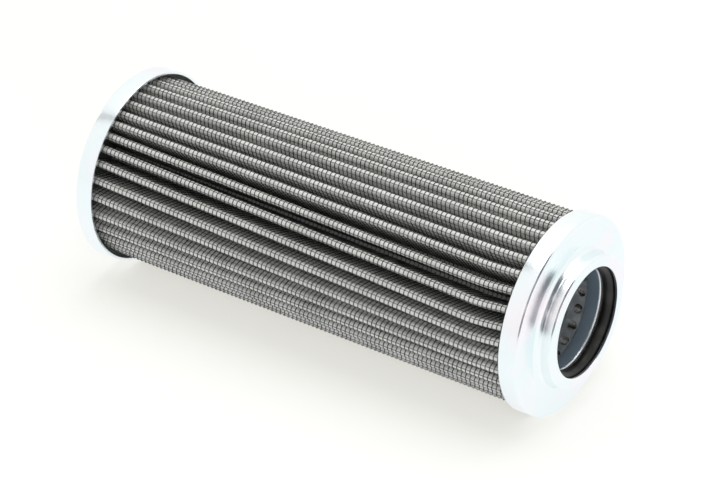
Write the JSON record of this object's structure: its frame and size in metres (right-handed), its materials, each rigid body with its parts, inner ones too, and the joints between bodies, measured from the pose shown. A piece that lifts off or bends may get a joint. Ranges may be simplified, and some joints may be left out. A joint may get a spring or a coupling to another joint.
{
  "type": "pleated filter element",
  "caption": "Cylindrical pleated filter element with a wire mesh outer support, pressed end caps, and a sealed collar at its open end.",
  "frame": {"origin": "centre of the closed end cap's outer face, which the element stands on", "axes": "+Z along the element's axis, from the closed end to the open end with the collar"},
  "size_m": [0.068, 0.068, 0.1808],
  "materials": {
    "zinc_cap": "bright bluish zinc plating with a faint iridescence",
    "zinc_sleeve": "satin blue-grey zinc plating",
    "seal_rubber": "semi-gloss black nitrile",
    "tube_steel": "dark rolled perforated sheet",
    "mesh_steel": "woven wire, dark",
    "medium_cloth": "fine woven metal cloth, warm grey",
    "adhesive": "cast epoxy"
  },
  "bodies": {
    "root": {"closed_end_cap": "zinc_cap", "open_end_cap": "zinc_cap", "guide_sleeve": "zinc_sleeve", "seal_ring": "seal_rubber", "support_tube": "tube_steel", "outer_support_mesh": "mesh_steel", "filter_medium": "medium_cloth", "inner_support_mesh": "mesh_steel", "closed_end_adhesive": "adhesive", "open_end_adhesive": "adhesive", "side_seam_bond": "adhesive"}
  },
  "joints": []
}
